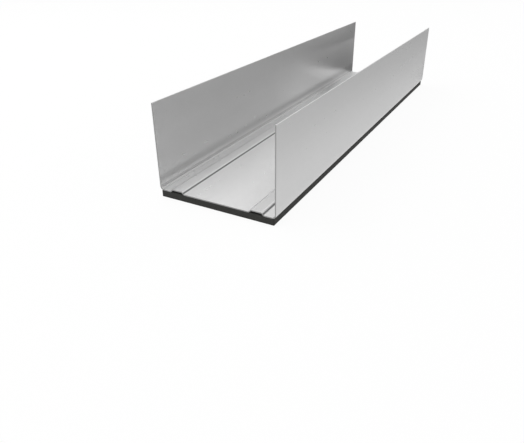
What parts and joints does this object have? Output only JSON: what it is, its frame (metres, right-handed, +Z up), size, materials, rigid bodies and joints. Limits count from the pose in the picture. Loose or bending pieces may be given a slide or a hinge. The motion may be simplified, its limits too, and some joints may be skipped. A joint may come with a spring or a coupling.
{
  "type": "u-channel",
  "caption": "Thin galvanised sheet-metal U-channel with deep flanges and ribs pressed up in its web, with a dark foam seal strip glued under the web, used as a stud wall track.",
  "frame": {"origin": "centre of the seal strip's underside, where the part rests", "axes": "+X across the channel from flange to flange, +Y along its length, +Z up out of its open side"},
  "size_m": [0.073, 0.31, 0.054],
  "materials": {
    "galvanised_steel": "hot-dip galvanised sheet, dull satin",
    "seal_foam": "dark grey closed-cell foam, matt"
  },
  "bodies": {
    "root": {"channel": "galvanised_steel", "seal_strip": "seal_foam"}
  },
  "joints": []
}
